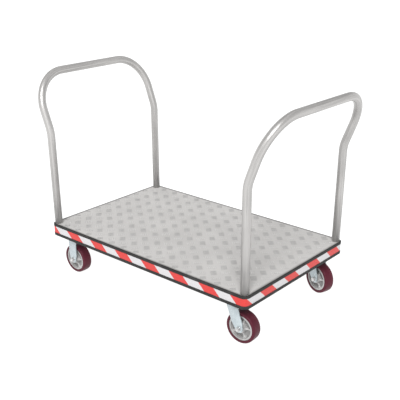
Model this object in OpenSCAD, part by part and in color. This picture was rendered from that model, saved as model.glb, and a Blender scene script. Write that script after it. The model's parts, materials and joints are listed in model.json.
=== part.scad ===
// Flatbed platform truck: an aluminium treadplate deck on a channel frame, a bumper strip with
// reflective tape round its edge, a bent push handle at each end, two rigid casters at the -X end
// and two swivel casters at the +X end.
// The origin is on the ground under the middle of the deck. +X runs along the deck towards the
// swivel end, +Y across it to the left-hand side, and +Z is up. All sizes are in millimetres.

/* [Deck] */
// Overall length over the bumper
truck_length = 1256; // [900:1:1900]
// Overall width over the bumper
truck_width = 775; // [600:1:1100]
// Thickness of the deck plate
plate_t = 4.5; // [3:0.1:8]
// How much larger the plate's corner radius is than a post's hole
corner_wall = 2.2; // [1.8:0.1:20]

/* [Bumper] */
// Height of the bumper strip, down from the deck's top face
bumper_height = 63; // [52:1:120]
// How far the bumper hangs below the frame
bumper_drop = 2; // [0:0.5:6]
// Thickness of the bumper at its two lips
lip_t = 6.5; // [4.5:0.1:12]
// Height of the top lip
top_lip_height = 13; // [6:0.1:18]
// Height of the bottom lip
bottom_lip_height = 15.5; // [6:0.1:20]
// Depth of the channel between the lips
channel_depth = 1.5; // [0.9:0.1:2.5]
// Thickness of the reflective tape
tape_t = 0.4; // [0.2:0.05:0.8]
// Gap between the tape's edges and the lips
tape_edge_gap = 0.3; // [0.1:0.1:2]
// Bumper screws along each long side
side_screws = 5; // [3:1:9]
// Bumper screws along each short side
end_screws = 3; // [2:1:5]
// Length of a bumper screw
screw_length = 14; // [12:0.5:16]

/* [Frame] */
// Wall of the rails and cross members
rail_t = 4; // [3:0.5:6]
// Width of the side and end rails' flanges
rail_flange = 20; // [16:1:40]
// Width of the cross members' flanges
cross_flange = 30; // [20:1:40]
// Number of cross members between the two caster bays
middle_members = 2; // [1:1:3]
// Wall of a corner socket between its post and the middle of the deck
socket_wall = 7.2; // [4:0.1:20]
// Thickness of the floor that closes each corner socket
socket_floor = 5; // [3:0.5:8]
// Thickness of the caster pads
pad_t = 8; // [6:0.5:15]
// How far a caster pad laps onto the frame member at each of its edges
pad_lap = 7; // [4:0.5:12]

/* [Handles] */
// Outer diameter of the handle tube
tube_d = 38.1; // [25:0.1:60]
// Wall of the handle tube
tube_wall = 2.5; // [1.5:0.1:4]
// Width of plate left between a post's hole and the bumper
post_edge = 1.2; // [1.2:0.1:20]
// Height above the deck at which a post and its leaning run would cross
kink_rise = 474.5; // [200:0.5:900]
// Straight length between the two bends of the leaning part
lean_straight = 81.6; // [5:0.1:300]
// Run of a handle's leaning part, outwards, for the rise below
lean_run = 44; // [20:1:60]
// Rise of a handle's leaning part for the run above
lean_rise = 117; // [100:1:200]
// Bend radius where a post starts to lean
kink_r = 150; // [100:5:600]
// Bend radius between the leaning runs and the top bar
bar_bend_r = 173; // [80:1:210]
// Radial clearance of a post in its socket
post_gap = 0.25; // [0.1:0.05:0.4]
// Diameter of the screws that hold the posts
post_screw_d = 8; // [6:0.5:10]

/* [Wheels] */
// Outer diameter of a wheel
wheel_d = 150; // [110:1:250]
// Width of a wheel's tread
wheel_w = 50; // [36:1:80]
// Radius of the tread's round shoulders
tread_shoulder_r = 6; // [3:0.5:10]
// Thickness of the tread
tread_t = 14; // [9:0.5:20]
// Thickness of the core's rim, under the tread
rim_t = 9; // [4:0.5:12]
// How far the core's rim stands in from each side of the tread
rim_inset = 2; // [1:0.5:5]
// Thickness of the core's web
web_t = 9; // [6:0.5:14]
// Wall of the core's hub, round the bearing
hub_wall = 7; // [4:0.5:12]
// Gap between each end of the hub and its thrust washer
hub_play = 1; // [0.5:0.1:2]
// Ribs on each side of the web
core_ribs = 5; // [3:1:8]
// Thickness of a rib
rib_t = 7; // [4:0.5:10]
// How far the ribs stand in from each side of the tread
rib_inset = 7; // [5:0.5:12]
// Wall of the roller bearing in the hub
bearing_t = 5; // [3:0.5:8]
// How far the roller bearing stands in from each end of the hub
bearing_inset = 2; // [1:0.5:5]
// Wall of the spanner sleeve that the bearing rolls on
sleeve_t = 4; // [2:0.5:6]
// Radial running clearance between the bearing and its sleeve
bearing_gap = 0.05; // [0.02:0.01:0.1]

/* [Casters] */
// Distance along the deck from a corner socket to the nearest plate bolts
bolt_to_socket = 9.5; // [9.5:0.5:100]
// Distance across the deck from a side rail's flange to the nearest plate bolts
bolt_to_rail = 13; // [10:0.5:60]
// Room over a wheel, up to the top of its caster's plate
caster_headroom = 46; // [42:0.5:70]
// Distance from the plate bolts to the ends of a caster's plate
plate_end_edge = 12; // [10:0.5:20]
// Distance from the plate bolts to the sides of a caster's plate
plate_side_edge = 16.5; // [10:0.5:20]
// Thickness of a caster's plate
caster_plate_t = 6; // [4:0.5:8]
// How far the plate bolts stand outside the circle of balls, along the plate
bolt_out_l = 9; // [7:0.5:30]
// How far the plate bolts stand outside the circle of balls, across the plate
bolt_out_w = 0.5; // [0:0.5:30]
// Diameter of the plate bolts
plate_bolt_d = 8; // [6:0.5:10]
// Wall of a fork, whose two legs and crown are one bent plate
fork_t = 5; // [4:0.5:6.5]
// Gap between a wheel's tread and a fork's leg
fork_clear = 6; // [4:0.5:12]
// Width of a fork's leg, square to its slope
leg_w = 52; // [43:1:64]
// Height of a leg's shoulders above the axle
leg_shoulder = 28; // [23:1:40]
// Width of metal round an axle bolt's flange at a leg's end
leg_end_rim = 6; // [3:0.5:8]
// Outer radius of the bends between a fork's crown and its legs
fork_bend_r = 11; // [8:0.5:14]
// Diameter of the axle bolts
axle_d = 12; // [10:0.5:15]
// How far a swivel caster's axle trails its kingpin
swivel_trail = 40; // [30:1:50]
// Rest angle of the right-hand swivel caster
swivel_right_rest = 3; // [-30:1:30]
// Rest angle of the left-hand swivel caster
swivel_left_rest = -16; // [-30:1:30]
// Height between a swivel caster's plate and its fork's crown
race_gap = 8; // [6.5:0.5:9.5]
// Diameter of the circle of balls
ball_circle_d = 66; // [55:1:90]
// Number of balls
balls = 22; // [12:1:22]
// Diameter of the kingpin
kingpin_d = 16; // [12:1:20]
// Radial running clearance of a fork on its kingpin
kingpin_gap = 0.05; // [0.02:0.01:0.1]
// Gap kept between faces that turn past each other
running_gap = 0.4; // [0.35:0.05:0.6]

/* [Hidden] */
$fn = 64;

// How far a cutting tool runs past the face that it cuts
through = 1;

// Sides of the truck and kinds of caster
RIGHT = -1;
LEFT = 1;
RIGID = 0;
SWIVEL = 1;

// Sizes of a wheel's and a caster's parts, from the inside outwards
core_d = wheel_d - 2 * tread_t;
rim_inner_d = core_d - 2 * rim_t;
sleeve_d = axle_d + 2 * sleeve_t;
bearing_d = sleeve_d + 2 * bearing_t;
hub_d = bearing_d + 2 * hub_wall;
washer_t = 2;
washer_rim = 4;
fork_gap = wheel_w + 2 * fork_clear;
hub_len = fork_gap - 2 * washer_t - 2 * hub_play;
bearing_len = hub_len - 2 * bearing_inset;
leg_outer = fork_gap / 2 + fork_t;
leg_end_r = axle_d + leg_end_rim;
bolt_spacing_l = ball_circle_d + 2 * bolt_out_l;
bolt_spacing_w = ball_circle_d + 2 * bolt_out_w;
caster_plate_l = bolt_spacing_l + 2 * plate_end_edge;
caster_plate_w = bolt_spacing_w + 2 * plate_side_edge;

// Heights
caster_height = wheel_d + caster_headroom;
frame_bottom = caster_height + pad_t;
bumper_bottom = frame_bottom - bumper_drop;
deck_top = bumper_bottom + bumper_height;
plate_bottom = deck_top - plate_t;
rail_height = plate_bottom - frame_bottom;
caster_plate_bottom = caster_height - caster_plate_t;
crown_top = caster_plate_bottom - race_gap;
axle_height = wheel_d / 2;

// Plan sizes inside the bumper
post_hole_r = tube_d / 2 + post_gap;
inner_length = truck_length - 2 * lip_t;
inner_width = truck_width - 2 * lip_t;
inner_corner_r = post_hole_r + corner_wall;
corner_r = inner_corner_r + lip_t;

// Handle posts and their sockets
post_inset = post_hole_r + post_edge;
post_x = inner_length / 2 - post_inset;
post_y = inner_width / 2 - post_inset;
post_bottom = frame_bottom + socket_floor;
socket_size = post_inset + post_hole_r + socket_wall;
handle_lean = atan2(lean_run, lean_rise);

// Post screws, each from just inside its tube to the socket's face
post_screw_z = frame_bottom + rail_height / 2;
post_screw_start = tube_d / 2 - tube_wall - 3;
post_screw_end = socket_size - post_inset;

// Bumper screws
screw_z = bumper_bottom + bumper_height / 2;
screw_d = 5;
screw_head_d = 9;
screw_head_t = 2;

// Casters and the members beside them
caster_x = inner_length / 2 - socket_size - bolt_to_socket - bolt_spacing_l / 2;
caster_y = inner_width / 2 - rail_flange - bolt_to_rail - bolt_spacing_w / 2;
plate_hole_r = plate_bolt_d / 2 + 0.5;
nut_flats = plate_bolt_d + 5;
nut_t = 0.8 * plate_bolt_d;
bolt_head_t = 0.65 * plate_bolt_d;
nut_clear = 2;
member_reach = bolt_spacing_l / 2 + nut_flats / 2 / cos(30) + nut_clear;
ball_d = race_gap - running_gap;
ball_reach = ball_circle_d / 2 + ball_d / 2;

// Axle hardware
hex_flats = 19;
flange_d = 2 * axle_d;
flange_t = 2.5;
head_t = 7.5;
lock_nut_t = 10;
lock_collar_d = 16.5;
bolt_overrun = 3;

// Kingpin hardware
king_head_d = kingpin_d + 8;
king_head_t = 5;
king_washer_t = 2.5;
king_nut_t = 9;
king_washer_top = crown_top - fork_t - running_gap;
king_nut_bottom = king_washer_top - king_washer_t - king_nut_t;

// Colours
aluminium = [0.80, 0.80, 0.78];
zinc = [0.72, 0.78, 0.80];
burgundy = [0.38, 0.18, 0.23];
charcoal = [0.20, 0.20, 0.20];
tape_red = [0.86, 0.25, 0.25];
steel = [0.62, 0.64, 0.66];

// ---- Shared shapes -------------------------------------------------------------------------

// Flat rectangle centred on the origin, with round corners
module round_rect(length, width, r) {
    square([length - 2 * r, width], center = true);
    square([length, width - 2 * r], center = true);
    for (sx = [-1, 1], sy = [-1, 1])
        translate([sx * (length / 2 - r), sy * (width / 2 - r)])
            circle(r = r);
}

// Flat ring that follows the truck's outline, from depth d_out to depth d_in inside it
module outline_ring(d_out, d_in) {
    difference() {
        round_rect(truck_length - 2 * d_out, truck_width - 2 * d_out, corner_r - d_out);
        round_rect(truck_length - 2 * d_in, truck_width - 2 * d_in, corner_r - d_in);
    }
}

// Flat children made into a solid between two heights
module between(z_low, z_high) {
    translate([0, 0, z_low])
        linear_extrude(z_high - z_low)
            children();
}

// Channel of the frame's height, centred along X, with its web at Y = 0 and its flanges
// reaching towards +Y
module frame_channel(length, flange) {
    translate([-length / 2, 0, frame_bottom])
        difference() {
            cube([length, flange, rail_height]);
            translate([-through, rail_t, rail_t])
                cube([length + 2 * through, flange, rail_height - 2 * rail_t]);
        }
}

module hex_block(across_flats, height) {
    cylinder(d = across_flats / cos(30), h = height, $fn = 6);
}

module hollow_cylinder(outer_d, inner_d, height) {
    difference() {
        cylinder(d = outer_d, h = height);
        translate([0, 0, -through])
            cylinder(d = inner_d, h = height + 2 * through);
    }
}

// Children at four places, each mirrored so that its +X and +Y point away from the middle
module at_corners(x, y) {
    for (mx = [0, 1], my = [0, 1])
        mirror([mx, 0, 0])
            mirror([0, my, 0])
                translate([x, y, 0])
                    children();
}

// ---- Deck and frame ------------------------------------------------------------------------

module deck_plate() {
    color(aluminium)
        difference() {
            between(plate_bottom, deck_top)
                round_rect(inner_length, inner_width, inner_corner_r);
            at_corners(post_x, post_y)
                translate([0, 0, plate_bottom - through])
                    cylinder(r = post_hole_r, h = plate_t + 2 * through);
        }
}

// Even places for a number of screws along a side of the given length
function screw_places(length, count) =
    [for (i = [0 : count - 1]) (i - (count - 1) / 2) * length / count];

// Children at each bumper screw, with -Z pointing into the truck from the channel's floor
module at_bumper_screws() {
    for (turn = [0, 180])
        rotate([0, 0, turn]) {
            for (x = screw_places(inner_length - 2 * socket_size, side_screws))
                translate([x, -truck_width / 2 + channel_depth, screw_z])
                    rotate([90, 0, 0])
                        children();
            for (y = screw_places(inner_width - 2 * socket_size, end_screws))
                translate([truck_length / 2 - channel_depth, y, screw_z])
                    rotate([0, 90, 0])
                        children();
        }
}

// Shank of a bumper screw, which runs on outwards by extra
module screw_shank(extra) {
    translate([0, 0, -screw_length])
        cylinder(d = screw_d, h = screw_length + extra);
}

// Head of a bumper screw, which runs on outwards by extra
module screw_head(extra) {
    translate([0, 0, -screw_head_t])
        cylinder(d = screw_head_d, h = screw_head_t + extra);
}

// Rail along X at the right-hand side, its web against the bumper
module side_rail() {
    color(aluminium)
        difference() {
            translate([0, -inner_width / 2, 0])
                frame_channel(inner_length - 2 * socket_size, rail_flange);
            at_bumper_screws()
                screw_shank(through);
        }
}

module side_rail_right() {
    side_rail();
}

module side_rail_left() {
    rotate([0, 0, 180])
        side_rail();
}

// Rail along Y at the swivel end, its web against the bumper
module end_rail() {
    color(aluminium)
        difference() {
            translate([inner_length / 2, 0, 0])
                rotate([0, 0, 90])
                    frame_channel(inner_width - 2 * socket_size, rail_flange);
            at_bumper_screws()
                screw_shank(through);
        }
}

module end_rail_swivel_end() {
    end_rail();
}

module end_rail_rigid_end() {
    rotate([0, 0, 180])
        end_rail();
}

// Cross member between the side rails' flanges, with its web at X = -x and its own flanges
// reaching towards +X
module cross_member(x) {
    color(aluminium)
        translate([-x, 0, 0])
            rotate([0, 0, -90])
                frame_channel(inner_width - 2 * rail_flange, cross_flange);
}

module cross_member_rigid_end() {
    cross_member(caster_x - member_reach);
}

module cross_member_swivel_end() {
    rotate([0, 0, 180])
        cross_member(caster_x - member_reach);
}

module cross_members_middle() {
    reach = caster_x - member_reach;
    for (i = [1 : middle_members])
        cross_member(reach - i * 2 * reach / (middle_members + 1));
}

// Children along the line of a post screw, with +Z pointing to the middle of the deck from the
// post's own axis
module on_post_screw() {
    translate([0, 0, post_screw_z])
        rotate([0, -90, 0])
            children();
}

module post_screw_hole() {
    on_post_screw()
        translate([0, 0, post_screw_start])
            cylinder(d = post_screw_d, h = post_screw_end - post_screw_start + through);
}

// Solid corner with a blind bore for a handle post on the Z axis
module corner_socket() {
    near = post_inset - socket_size;
    difference() {
        between(frame_bottom, plate_bottom)
            intersection() {
                translate([near, near])
                    square(socket_size);
                translate([-post_x, -post_y])
                    round_rect(inner_length, inner_width, inner_corner_r);
            }
        translate([0, 0, post_bottom])
            cylinder(r = post_hole_r, h = rail_height);
        post_screw_hole();
    }
}

module corner_sockets() {
    color(aluminium)
        at_corners(post_x, post_y)
            corner_socket();
}

module post_screws() {
    color(steel)
        at_corners(post_x, post_y)
            on_post_screw() {
                translate([0, 0, post_screw_start])
                    cylinder(d = post_screw_d, h = post_screw_end - post_screw_start);
                translate([0, 0, post_screw_end])
                    hex_block(post_screw_d + 5, 0.65 * post_screw_d);
            }
}

// Pads that lap onto the rails and the cross member round each caster, with holes for the plate
// bolts and a middle hole that clears a kingpin's head
module caster_pads() {
    near_x = -member_reach - pad_lap;
    far_x = inner_length / 2 - caster_x - rail_flange + pad_lap;
    near_y = -caster_plate_w / 2;
    far_y = inner_width / 2 - caster_y - rail_flange + pad_lap;
    color(aluminium)
        at_corners(caster_x, caster_y)
            difference() {
                translate([near_x, near_y, caster_height])
                    cube([far_x - near_x, far_y - near_y, pad_t]);
                at_plate_bolts()
                    translate([0, 0, caster_height - through])
                        cylinder(r = plate_hole_r, h = pad_t + 2 * through);
                translate([0, 0, caster_height - through])
                    cylinder(d = king_head_d + 2, h = pad_t + 2 * through);
            }
}

module edge_bumper() {
    channel_low = bumper_bottom + bottom_lip_height;
    channel_high = deck_top - top_lip_height;
    color(charcoal)
        difference() {
            union() {
                between(bumper_bottom, channel_low)
                    outline_ring(0, lip_t);
                between(channel_low, channel_high)
                    outline_ring(channel_depth, lip_t);
                between(channel_high, deck_top)
                    outline_ring(0, lip_t);
            }
            at_bumper_screws() {
                screw_shank(through);
                screw_head(through);
            }
        }
}

module bumper_screws() {
    color(steel)
        at_bumper_screws() {
            screw_shank(0);
            screw_head(0);
        }
}

module reflective_tape() {
    tape_bottom = bumper_bottom + bottom_lip_height + tape_edge_gap;
    tape_top = deck_top - top_lip_height - tape_edge_gap;
    color(tape_red)
        between(tape_bottom, tape_top)
            outline_ring(channel_depth - tape_t, channel_depth);
}

// ---- Handles -------------------------------------------------------------------------------

module tube_ring() {
    difference() {
        circle(d = tube_d, $fn = 32);
        circle(d = tube_d - 2 * tube_wall, $fn = 32);
    }
}

module tube_run(length) {
    linear_extrude(length)
        tube_ring();
}

// Bend that starts at the origin heading +Z and turns towards +X
module tube_bend(r, angle) {
    translate([r, 0, 0])
        rotate([90, 0, 0])
            mirror([1, 0, 0])
                rotate_extrude(angle = angle, $fn = 48)
                    translate([r, 0])
                        tube_ring();
}

// Children at the end of the kink, with +Z along the leaning run
module past_kink() {
    translate([kink_r, 0, 0])
        rotate([0, handle_lean, 0])
            translate([-kink_r, 0, 0])
                children();
}

// Bend from the post to the leaning run, trimmed by the plane in which the run starts
module kink() {
    spare = 3;
    difference() {
        tube_bend(kink_r, handle_lean + spare);
        past_kink()
            translate([-tube_d, -tube_d, 0])
                cube([2 * tube_d, 2 * tube_d, kink_r * sin(2 * spare)]);
    }
}

// The leaning run, the big bend and half of the top bar, from the end of the kink
module upper_half() {
    tube_run(lean_straight);
    translate([0, 0, lean_straight]) {
        rotate([0, 0, 90])
            tube_bend(bar_bend_r, 90);
        translate([0, bar_bend_r, bar_bend_r])
            rotate([-90, 0, 0])
                tube_run(post_y - bar_bend_r);
    }
}

// Half of the handle at the swivel end, from the foot of its post, which stands on the Z axis
module handle_half() {
    post_length = deck_top + kink_rise - kink_r * tan(handle_lean / 2) - post_bottom;
    translate([0, 0, post_bottom]) {
        tube_run(post_length);
        translate([0, 0, post_length]) {
            kink();
            past_kink()
                upper_half();
        }
    }
}

module handle() {
    color(aluminium)
        difference() {
            for (my = [0, 1])
                mirror([0, my, 0])
                    translate([post_x, -post_y, 0])
                        handle_half();
            at_corners(post_x, post_y)
                post_screw_hole();
        }
}

module handle_swivel_end() {
    handle();
}

module handle_rigid_end() {
    mirror([1, 0, 0])
        handle();
}

// ---- Caster plates and forks ---------------------------------------------------------------
// A caster is drawn about its own axis: its plate's middle is on the Z axis, its wheel rolls
// along X, and its axle is parallel to Y

module at_plate_bolts() {
    for (sx = [-1, 1], sy = [-1, 1])
        translate([sx * bolt_spacing_l / 2, sy * bolt_spacing_w / 2, 0])
            children();
}

module plate_blank() {
    between(caster_plate_bottom, caster_height)
        round_rect(caster_plate_l, caster_plate_w, plate_bolt_d);
}

module plate_holes() {
    at_plate_bolts()
        translate([0, 0, caster_plate_bottom - through])
            cylinder(r = plate_hole_r, h = caster_plate_t + 2 * through);
}

// Place where a straight line from point p touches the circle of radius r about the origin
function touch_point(p, r, side) =
    let (towards = atan2(p[1], p[0]), spread = side * acos(r / norm(p)))
    [r * cos(towards + spread), r * sin(towards + spread)];

// Side view of a fork's leg, with the axle at the origin and the crown's top at height rise, set
// back by trail. Straight edges run down to the shoulders, then taper to the round end
module leg_outline(rise, trail) {
    half_w = leg_w / 2 / cos(atan(trail / rise));
    back = trail * leg_shoulder / rise;
    left = [-half_w - back, leg_shoulder];
    right = [half_w - back, leg_shoulder];
    polygon([
        [-half_w - trail, rise],
        left,
        touch_point(left, leg_end_r, 1),
        [0, 0],
        touch_point(right, leg_end_r, -1),
        right,
        [half_w - trail, rise]
    ]);
    circle(r = leg_end_r);
}

// Front view of a fork, whose crown's top is at height top: an arch bent from one plate
module fork_arch(top) {
    below = wheel_d;
    difference() {
        translate([0, (top - below) / 2])
            round_rect(2 * leg_outer, top + below, fork_bend_r);
        translate([0, (top - fork_t) / 2 - below])
            round_rect(fork_gap, top - fork_t + 2 * below, fork_bend_r - fork_t);
    }
}

// Children laid along the axle of a caster, with +Z pointing to -Y from the given Y
module on_axle(trail, y) {
    translate([trail, y, axle_height])
        rotate([90, 0, 0])
            children();
}

module fork_blank(top, trail) {
    depth = 2 * leg_outer + 2 * through;
    difference() {
        intersection() {
            translate([-wheel_d, 0, 0])
                rotate([90, 0, 90])
                    linear_extrude(2 * wheel_d)
                        fork_arch(top);
            on_axle(trail, depth / 2)
                linear_extrude(depth)
                    leg_outline(top - axle_height, trail);
        }
        on_axle(trail, depth / 2)
            cylinder(d = axle_d, h = depth);
    }
}

module rigid_fork() {
    color(zinc)
        difference() {
            union() {
                plate_blank();
                fork_blank(caster_plate_bottom, 0);
            }
            plate_holes();
        }
}

// Plate with a skirt round the balls
module swivel_plate() {
    skirt_r = ball_reach + washer_rim;
    color(zinc)
        difference() {
            union() {
                plate_blank();
                translate([0, 0, caster_plate_bottom - race_gap + washer_t])
                    hollow_cylinder(2 * skirt_r, 2 * ball_reach + 2, race_gap - washer_t);
            }
            plate_holes();
            translate([0, 0, caster_plate_bottom - through])
                cylinder(d = kingpin_d, h = caster_plate_t + 2 * through);
        }
}

module swivel_balls() {
    color(steel)
        for (i = [0 : balls - 1])
            rotate([0, 0, i * 360 / balls])
                translate([ball_circle_d / 2, 0, caster_plate_bottom - ball_d / 2])
                    sphere(d = ball_d, $fn = 24);
}

module swivel_kingpin() {
    low = king_nut_bottom - bolt_overrun;
    color(steel) {
        translate([0, 0, low])
            cylinder(d = kingpin_d, h = caster_height - low);
        translate([0, 0, caster_height])
            cylinder(d = king_head_d, h = king_head_t);
    }
}

module swivel_kingpin_nut() {
    color(steel)
        difference() {
            union() {
                translate([0, 0, king_nut_bottom])
                    hex_block(kingpin_d + 8, king_nut_t);
                translate([0, 0, king_washer_top - king_washer_t])
                    cylinder(d = kingpin_d + 18, h = king_washer_t);
            }
            translate([0, 0, king_nut_bottom - through])
                cylinder(d = kingpin_d, h = king_nut_t + king_washer_t + 2 * through);
        }
}

// Fork with a round crown under the balls
module swivel_fork() {
    color(zinc)
        difference() {
            union() {
                fork_blank(crown_top, swivel_trail);
                translate([0, 0, crown_top - fork_t])
                    cylinder(r = ball_reach + washer_rim - 1, h = fork_t);
            }
            translate([0, 0, crown_top - fork_t - through])
                cylinder(r = kingpin_d / 2 + kingpin_gap, h = fork_t + 2 * through);
        }
}

// ---- Axles and wheels, each drawn along +Z -------------------------------------------------

// Bolt with its flanged head below Z = 0, which is the outer face of a leg
module axle_bolt() {
    color(steel) {
        translate([0, 0, -flange_t])
            cylinder(d = flange_d, h = flange_t);
        translate([0, 0, -flange_t - head_t])
            hex_block(hex_flats, head_t);
        cylinder(d = axle_d, h = 2 * leg_outer + flange_t + lock_nut_t + bolt_overrun);
    }
}

// Lock nut with a flange and a round collar
module axle_nut() {
    color(steel)
        difference() {
            union() {
                cylinder(d = flange_d, h = flange_t);
                translate([0, 0, flange_t])
                    hex_block(hex_flats, head_t);
                translate([0, 0, flange_t])
                    cylinder(d = lock_collar_d, h = lock_nut_t);
            }
            translate([0, 0, -through])
                cylinder(d = axle_d, h = flange_t + lock_nut_t + 2 * through);
        }
}

module axle_sleeve() {
    color(steel)
        hollow_cylinder(sleeve_d, axle_d, fork_gap);
}

module thrust_washers() {
    color(steel)
        for (z = [0, fork_gap - washer_t])
            translate([0, 0, z])
                hollow_cylinder(bearing_d + 2 * washer_rim, sleeve_d, washer_t);
}

module wheel_bearing() {
    color(steel)
        translate([0, 0, -bearing_len / 2])
            hollow_cylinder(bearing_d, sleeve_d + 2 * bearing_gap, bearing_len);
}

// Half section of the core, about the wheel's middle plane: the rim, the web and the hub
module core_section() {
    bore_r = bearing_d / 2;
    rim_w = wheel_w - 2 * rim_inset;
    translate([rim_inner_d / 2, -rim_w / 2])
        square([(core_d - rim_inner_d) / 2, rim_w]);
    translate([bore_r, -web_t / 2])
        square([core_d / 2 - bore_r, web_t]);
    translate([bore_r, -hub_len / 2])
        square([hub_d / 2 - bore_r, hub_len]);
}

// Ribs between the hub and the rim, which bed a little way into both
module core_rib_set() {
    bed = 2;
    start = hub_d / 2 - bed;
    reach = rim_inner_d / 2 + bed - start;
    depth = wheel_w - 2 * rib_inset;
    for (i = [0 : core_ribs - 1])
        rotate([0, 0, i * 360 / core_ribs])
            translate([start, -rib_t / 2, -depth / 2])
                cube([reach, rib_t, depth]);
}

module wheel_core() {
    color(aluminium) {
        rotate_extrude($fn = 96)
            core_section();
        core_rib_set();
    }
}

// Half section of the tread: a band with round shoulders
module tread_section() {
    mid_w = wheel_w - 2 * tread_shoulder_r;
    intersection() {
        union() {
            square([wheel_d / 2 - tread_shoulder_r, wheel_w]);
            translate([0, tread_shoulder_r])
                square([wheel_d / 2, mid_w]);
            for (y = [tread_shoulder_r, wheel_w - tread_shoulder_r])
                translate([wheel_d / 2 - tread_shoulder_r, y])
                    circle(r = tread_shoulder_r);
        }
        translate([core_d / 2, 0])
            square([tread_t, wheel_w]);
    }
}

module wheel_tread() {
    color(burgundy)
        translate([0, 0, -wheel_w / 2])
            rotate_extrude($fn = 128)
                tread_section();
}

// ---- Casters in place ----------------------------------------------------------------------

module at_plate(kind, side) {
    translate([kind == SWIVEL ? caster_x : -caster_x, side * caster_y, 0])
        children();
}

// Children that turn with a caster's fork
module at_caster(kind, side) {
    swivel_rest = side == RIGHT ? swivel_right_rest : swivel_left_rest;
    at_plate(kind, side)
        rotate([0, 0, kind == SWIVEL ? swivel_rest : 0])
            children();
}

// Children laid along a caster's axle, starting at the given distance inside the wheel's middle
// and heading for the truck's outer side
module in_axle(kind, side, start) {
    at_caster(kind, side)
        mirror([0, side == LEFT ? 1 : 0, 0])
            on_axle(kind == SWIVEL ? swivel_trail : 0, start)
                children();
}

module plate_bolt() {
    translate([0, 0, caster_plate_bottom - bolt_head_t])
        hex_block(nut_flats, bolt_head_t);
    translate([0, 0, caster_plate_bottom])
        cylinder(d = plate_bolt_d, h = caster_plate_t + pad_t + nut_t + bolt_overrun);
}

module plate_nut() {
    translate([0, 0, frame_bottom])
        difference() {
            hex_block(nut_flats, nut_t);
            translate([0, 0, -through])
                cylinder(d = plate_bolt_d, h = nut_t + 2 * through);
        }
}

module caster_plate_bolts() {
    color(steel)
        at_corners(caster_x, caster_y)
            at_plate_bolts()
                plate_bolt();
}

module caster_plate_nuts() {
    color(steel)
        at_corners(caster_x, caster_y)
            at_plate_bolts()
                plate_nut();
}

// ---- Pieces --------------------------------------------------------------------------------

deck_plate();
side_rail_right();
side_rail_left();
end_rail_swivel_end();
end_rail_rigid_end();
cross_member_swivel_end();
cross_member_rigid_end();
cross_members_middle();
corner_sockets();
caster_pads();
edge_bumper();
reflective_tape();
bumper_screws();
handle_swivel_end();
handle_rigid_end();
post_screws();
caster_plate_bolts();
caster_plate_nuts();

at_caster(RIGID, RIGHT) rigid_fork();  // rigid_right_fork
in_axle(RIGID, RIGHT, leg_outer) axle_bolt();  // rigid_right_axle_bolt
in_axle(RIGID, RIGHT, -leg_outer) axle_nut();  // rigid_right_axle_nut
in_axle(RIGID, RIGHT, fork_gap / 2) axle_sleeve();  // rigid_right_sleeve
in_axle(RIGID, RIGHT, fork_gap / 2) thrust_washers();  // rigid_right_washers
in_axle(RIGID, RIGHT, 0) wheel_bearing();  // rigid_right_bearing
in_axle(RIGID, RIGHT, 0) wheel_core();  // rigid_right_wheel_core
in_axle(RIGID, RIGHT, 0) wheel_tread();  // rigid_right_tread

at_caster(RIGID, LEFT) rigid_fork();  // rigid_left_fork
in_axle(RIGID, LEFT, leg_outer) axle_bolt();  // rigid_left_axle_bolt
in_axle(RIGID, LEFT, -leg_outer) axle_nut();  // rigid_left_axle_nut
in_axle(RIGID, LEFT, fork_gap / 2) axle_sleeve();  // rigid_left_sleeve
in_axle(RIGID, LEFT, fork_gap / 2) thrust_washers();  // rigid_left_washers
in_axle(RIGID, LEFT, 0) wheel_bearing();  // rigid_left_bearing
in_axle(RIGID, LEFT, 0) wheel_core();  // rigid_left_wheel_core
in_axle(RIGID, LEFT, 0) wheel_tread();  // rigid_left_tread

at_plate(SWIVEL, RIGHT) swivel_plate();  // swivel_right_plate
at_plate(SWIVEL, RIGHT) swivel_balls();  // swivel_right_balls
at_plate(SWIVEL, RIGHT) swivel_kingpin();  // swivel_right_kingpin
at_plate(SWIVEL, RIGHT) swivel_kingpin_nut();  // swivel_right_kingpin_nut
at_caster(SWIVEL, RIGHT) swivel_fork();  // swivel_right_fork
in_axle(SWIVEL, RIGHT, leg_outer) axle_bolt();  // swivel_right_axle_bolt
in_axle(SWIVEL, RIGHT, -leg_outer) axle_nut();  // swivel_right_axle_nut
in_axle(SWIVEL, RIGHT, fork_gap / 2) axle_sleeve();  // swivel_right_sleeve
in_axle(SWIVEL, RIGHT, fork_gap / 2) thrust_washers();  // swivel_right_washers
in_axle(SWIVEL, RIGHT, 0) wheel_bearing();  // swivel_right_bearing
in_axle(SWIVEL, RIGHT, 0) wheel_core();  // swivel_right_wheel_core
in_axle(SWIVEL, RIGHT, 0) wheel_tread();  // swivel_right_tread

at_plate(SWIVEL, LEFT) swivel_plate();  // swivel_left_plate
at_plate(SWIVEL, LEFT) swivel_balls();  // swivel_left_balls
at_plate(SWIVEL, LEFT) swivel_kingpin();  // swivel_left_kingpin
at_plate(SWIVEL, LEFT) swivel_kingpin_nut();  // swivel_left_kingpin_nut
at_caster(SWIVEL, LEFT) swivel_fork();  // swivel_left_fork
in_axle(SWIVEL, LEFT, leg_outer) axle_bolt();  // swivel_left_axle_bolt
in_axle(SWIVEL, LEFT, -leg_outer) axle_nut();  // swivel_left_axle_nut
in_axle(SWIVEL, LEFT, fork_gap / 2) axle_sleeve();  // swivel_left_sleeve
in_axle(SWIVEL, LEFT, fork_gap / 2) thrust_washers();  // swivel_left_washers
in_axle(SWIVEL, LEFT, 0) wheel_bearing();  // swivel_left_bearing
in_axle(SWIVEL, LEFT, 0) wheel_core();  // swivel_left_wheel_core
in_axle(SWIVEL, LEFT, 0) wheel_tread();  // swivel_left_tread
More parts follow.
